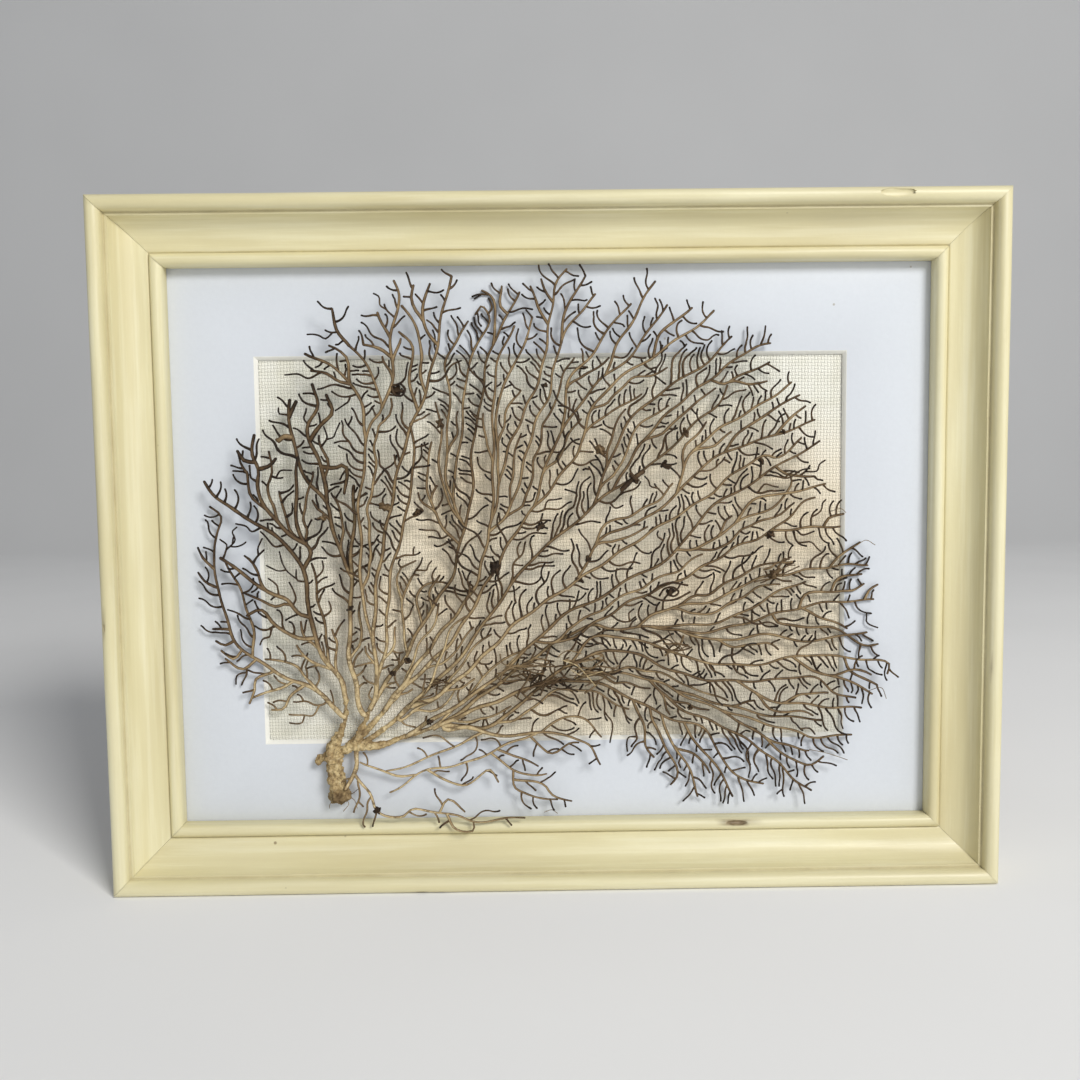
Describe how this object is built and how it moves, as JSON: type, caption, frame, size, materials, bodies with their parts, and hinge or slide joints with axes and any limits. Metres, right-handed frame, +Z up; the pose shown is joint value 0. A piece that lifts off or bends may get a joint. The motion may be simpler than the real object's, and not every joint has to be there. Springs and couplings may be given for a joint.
{
  "type": "framed sea fan",
  "caption": "Dried brown sea fan with fine feathered boughs, mounted on a bevelled white window mount over linen in a small cream-painted moulded frame.",
  "frame": {"origin": "middle of the top rail's back face, where the frame lies against the wall", "axes": "+X along the frame's width to the viewer's right, +Y into the wall, +Z up; the fan faces -Y"},
  "size_m": [0.222, 0.018, 0.172],
  "materials": {
    "moulding_paint": "cream paint, satin, lightly worn over wood",
    "mount_card": "matt white mount card",
    "linen_cloth": "undyed plain-weave linen",
    "backing_card": "matt grey card",
    "hardboard": "smooth brown hardboard",
    "tab_steel": "zinc-plated steel",
    "hanger_brass": "brass-plated steel",
    "holdfast_crust": "dry, crusty, golden tan",
    "fan_stem": "dry horny stems, tan at the base to dark brown at the tips"
  },
  "bodies": {
    "root": {"frame_rail_top": "moulding_paint", "frame_rail_bottom": "moulding_paint", "frame_rail_left": "moulding_paint", "frame_rail_right": "moulding_paint", "window_mount": "mount_card", "linen": "linen_cloth", "linen_card": "backing_card", "back_board": "hardboard", "board_tab_1": "tab_steel", "board_tab_2": "tab_steel", "board_tab_3": "tab_steel", "board_tab_4": "tab_steel", "board_tab_5": "tab_steel", "board_tab_6": "tab_steel", "board_tab_7": "tab_steel", "board_tab_8": "tab_steel", "hanger_plate": "hanger_brass", "hanger_rivet_left": "hanger_brass", "hanger_rivet_right": "hanger_brass", "holdfast_and_trunk": "holdfast_crust", "bough_far_left": "fan_stem", "bough_left": "fan_stem", "bough_left_upright": "fan_stem", "bough_upper_left": "fan_stem", "bough_upright": "fan_stem", "bough_top": "fan_stem", "bough_upper_right": "fan_stem", "bough_crest_right": "fan_stem", "bough_diagonal": "fan_stem", "bough_right": "fan_stem", "bough_right_middle": "fan_stem", "bough_right_lower": "fan_stem", "bough_lower_right": "fan_stem", "bough_low_trailing": "fan_stem", "bough_lowest_spray": "fan_stem"}
  },
  "joints": []
}
